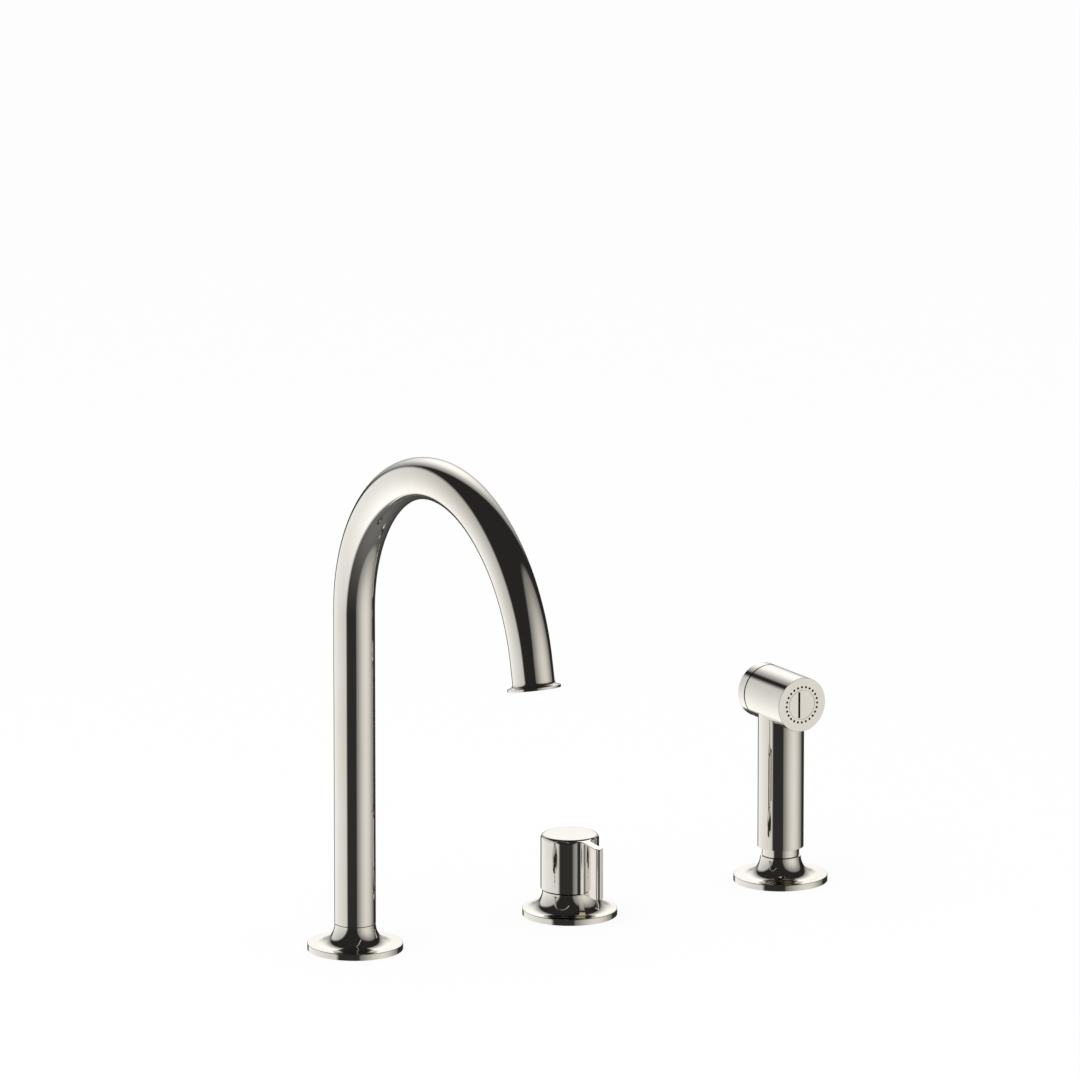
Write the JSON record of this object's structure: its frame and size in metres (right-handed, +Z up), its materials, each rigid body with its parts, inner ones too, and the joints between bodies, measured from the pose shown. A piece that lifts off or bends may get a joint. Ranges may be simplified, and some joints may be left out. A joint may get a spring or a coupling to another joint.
{
  "type": "side spray kitchen faucet",
  "caption": "Kitchen faucet with a swivelling gooseneck spout, a control knob with a fin and a lift-out hand spray, each on its own round flange.",
  "frame": {"origin": "centre of the control station at the top of the worktop", "axes": "+Z up from the worktop, -Y to the sink and the user, +X from the spout past the control to the hand spray"},
  "size_m": [0.376, 0.2596, 0.3943],
  "materials": {
    "nickel": "polished, warm like nickel",
    "brass": "machined",
    "steel": "plain stainless",
    "rubber": "matt black",
    "black_plastic": "moulded, black",
    "white_plastic": "moulded, off-white",
    "ceramic": "lapped alumina ceramic"
  },
  "bodies": {
    "fixed_body": {"spout_flange": "nickel", "control_flange": "nickel", "spray_flange": "nickel", "spout_gasket": "rubber", "control_gasket": "rubber", "spray_gasket": "rubber", "spout_clamp_plate": "steel", "control_clamp_plate": "steel", "spray_clamp_plate": "steel", "spout_lock_nut": "brass", "control_lock_nut": "brass", "spray_lock_nut": "brass", "spout_base": "nickel", "control_base": "nickel", "spray_base": "nickel", "slip_ring": "black_plastic", "swivel_seals": "rubber", "diverter_bridge": "brass", "diverter_spring": "steel", "cartridge_body": "white_plastic", "cartridge_nut": "brass", "cartridge_seal": "rubber", "fixed_disc": "ceramic", "holder_sleeve": "black_plastic"},
    "spout": {"spout_tube": "nickel", "spout_screw": "steel", "aerator_washer": "rubber", "aerator_housing": "nickel", "aerator_insert": "white_plastic"},
    "diverter": {"diverter_plunger": "white_plastic"},
    "knob": {"control_knob": "nickel", "knob_screw": "steel", "spindle": "brass", "moving_disc": "ceramic"},
    "hose_end": {"hose_connector": "nickel", "pivot_seal": "rubber", "pivot_clip": "steel", "check_valve": "white_plastic"},
    "hand_spray": {"spray_body": "nickel", "jet_insert": "nickel", "valve_body": "brass", "valve_spring": "steel"},
    "button": {"spray_button": "nickel", "valve_stem": "brass", "valve_seal": "rubber"}
  },
  "joints": [
    {"name": "spout_swivel", "type": "hinge", "parent": "fixed_body", "child": "spout", "pos_m": [-0.158, 0, 0], "axis": [0, 0, 1], "continuous": true},
    {"name": "diverter_lift", "type": "slide", "parent": "fixed_body", "child": "diverter", "axis": [0, 0, 1], "range_m": [0, 0.004], "stiffness_N_per_m": 400, "springref_m": -0.003, "deforming": ["diverter_spring"]},
    {"name": "knob_turn", "type": "hinge", "parent": "fixed_body", "child": "knob", "pos_m": [0, 0, 0], "axis": [0, 0, 1], "range_deg": [0, 100]},
    {"name": "spray_lift", "type": "slide", "parent": "fixed_body", "child": "hose_end", "axis": [0, 0, 1], "range_m": [0, 0.5]},
    {"name": "spray_swivel", "type": "hinge", "parent": "hose_end", "child": "hand_spray", "pos_m": [0.158, 0, 0], "axis": [0, 0, 1], "continuous": true},
    {"name": "button_press", "type": "slide", "parent": "hand_spray", "child": "button", "axis": [0, -1, 0], "range_m": [0, 0.0008], "stiffness_N_per_m": 2000, "springref_m": -0.004}
  ]
}
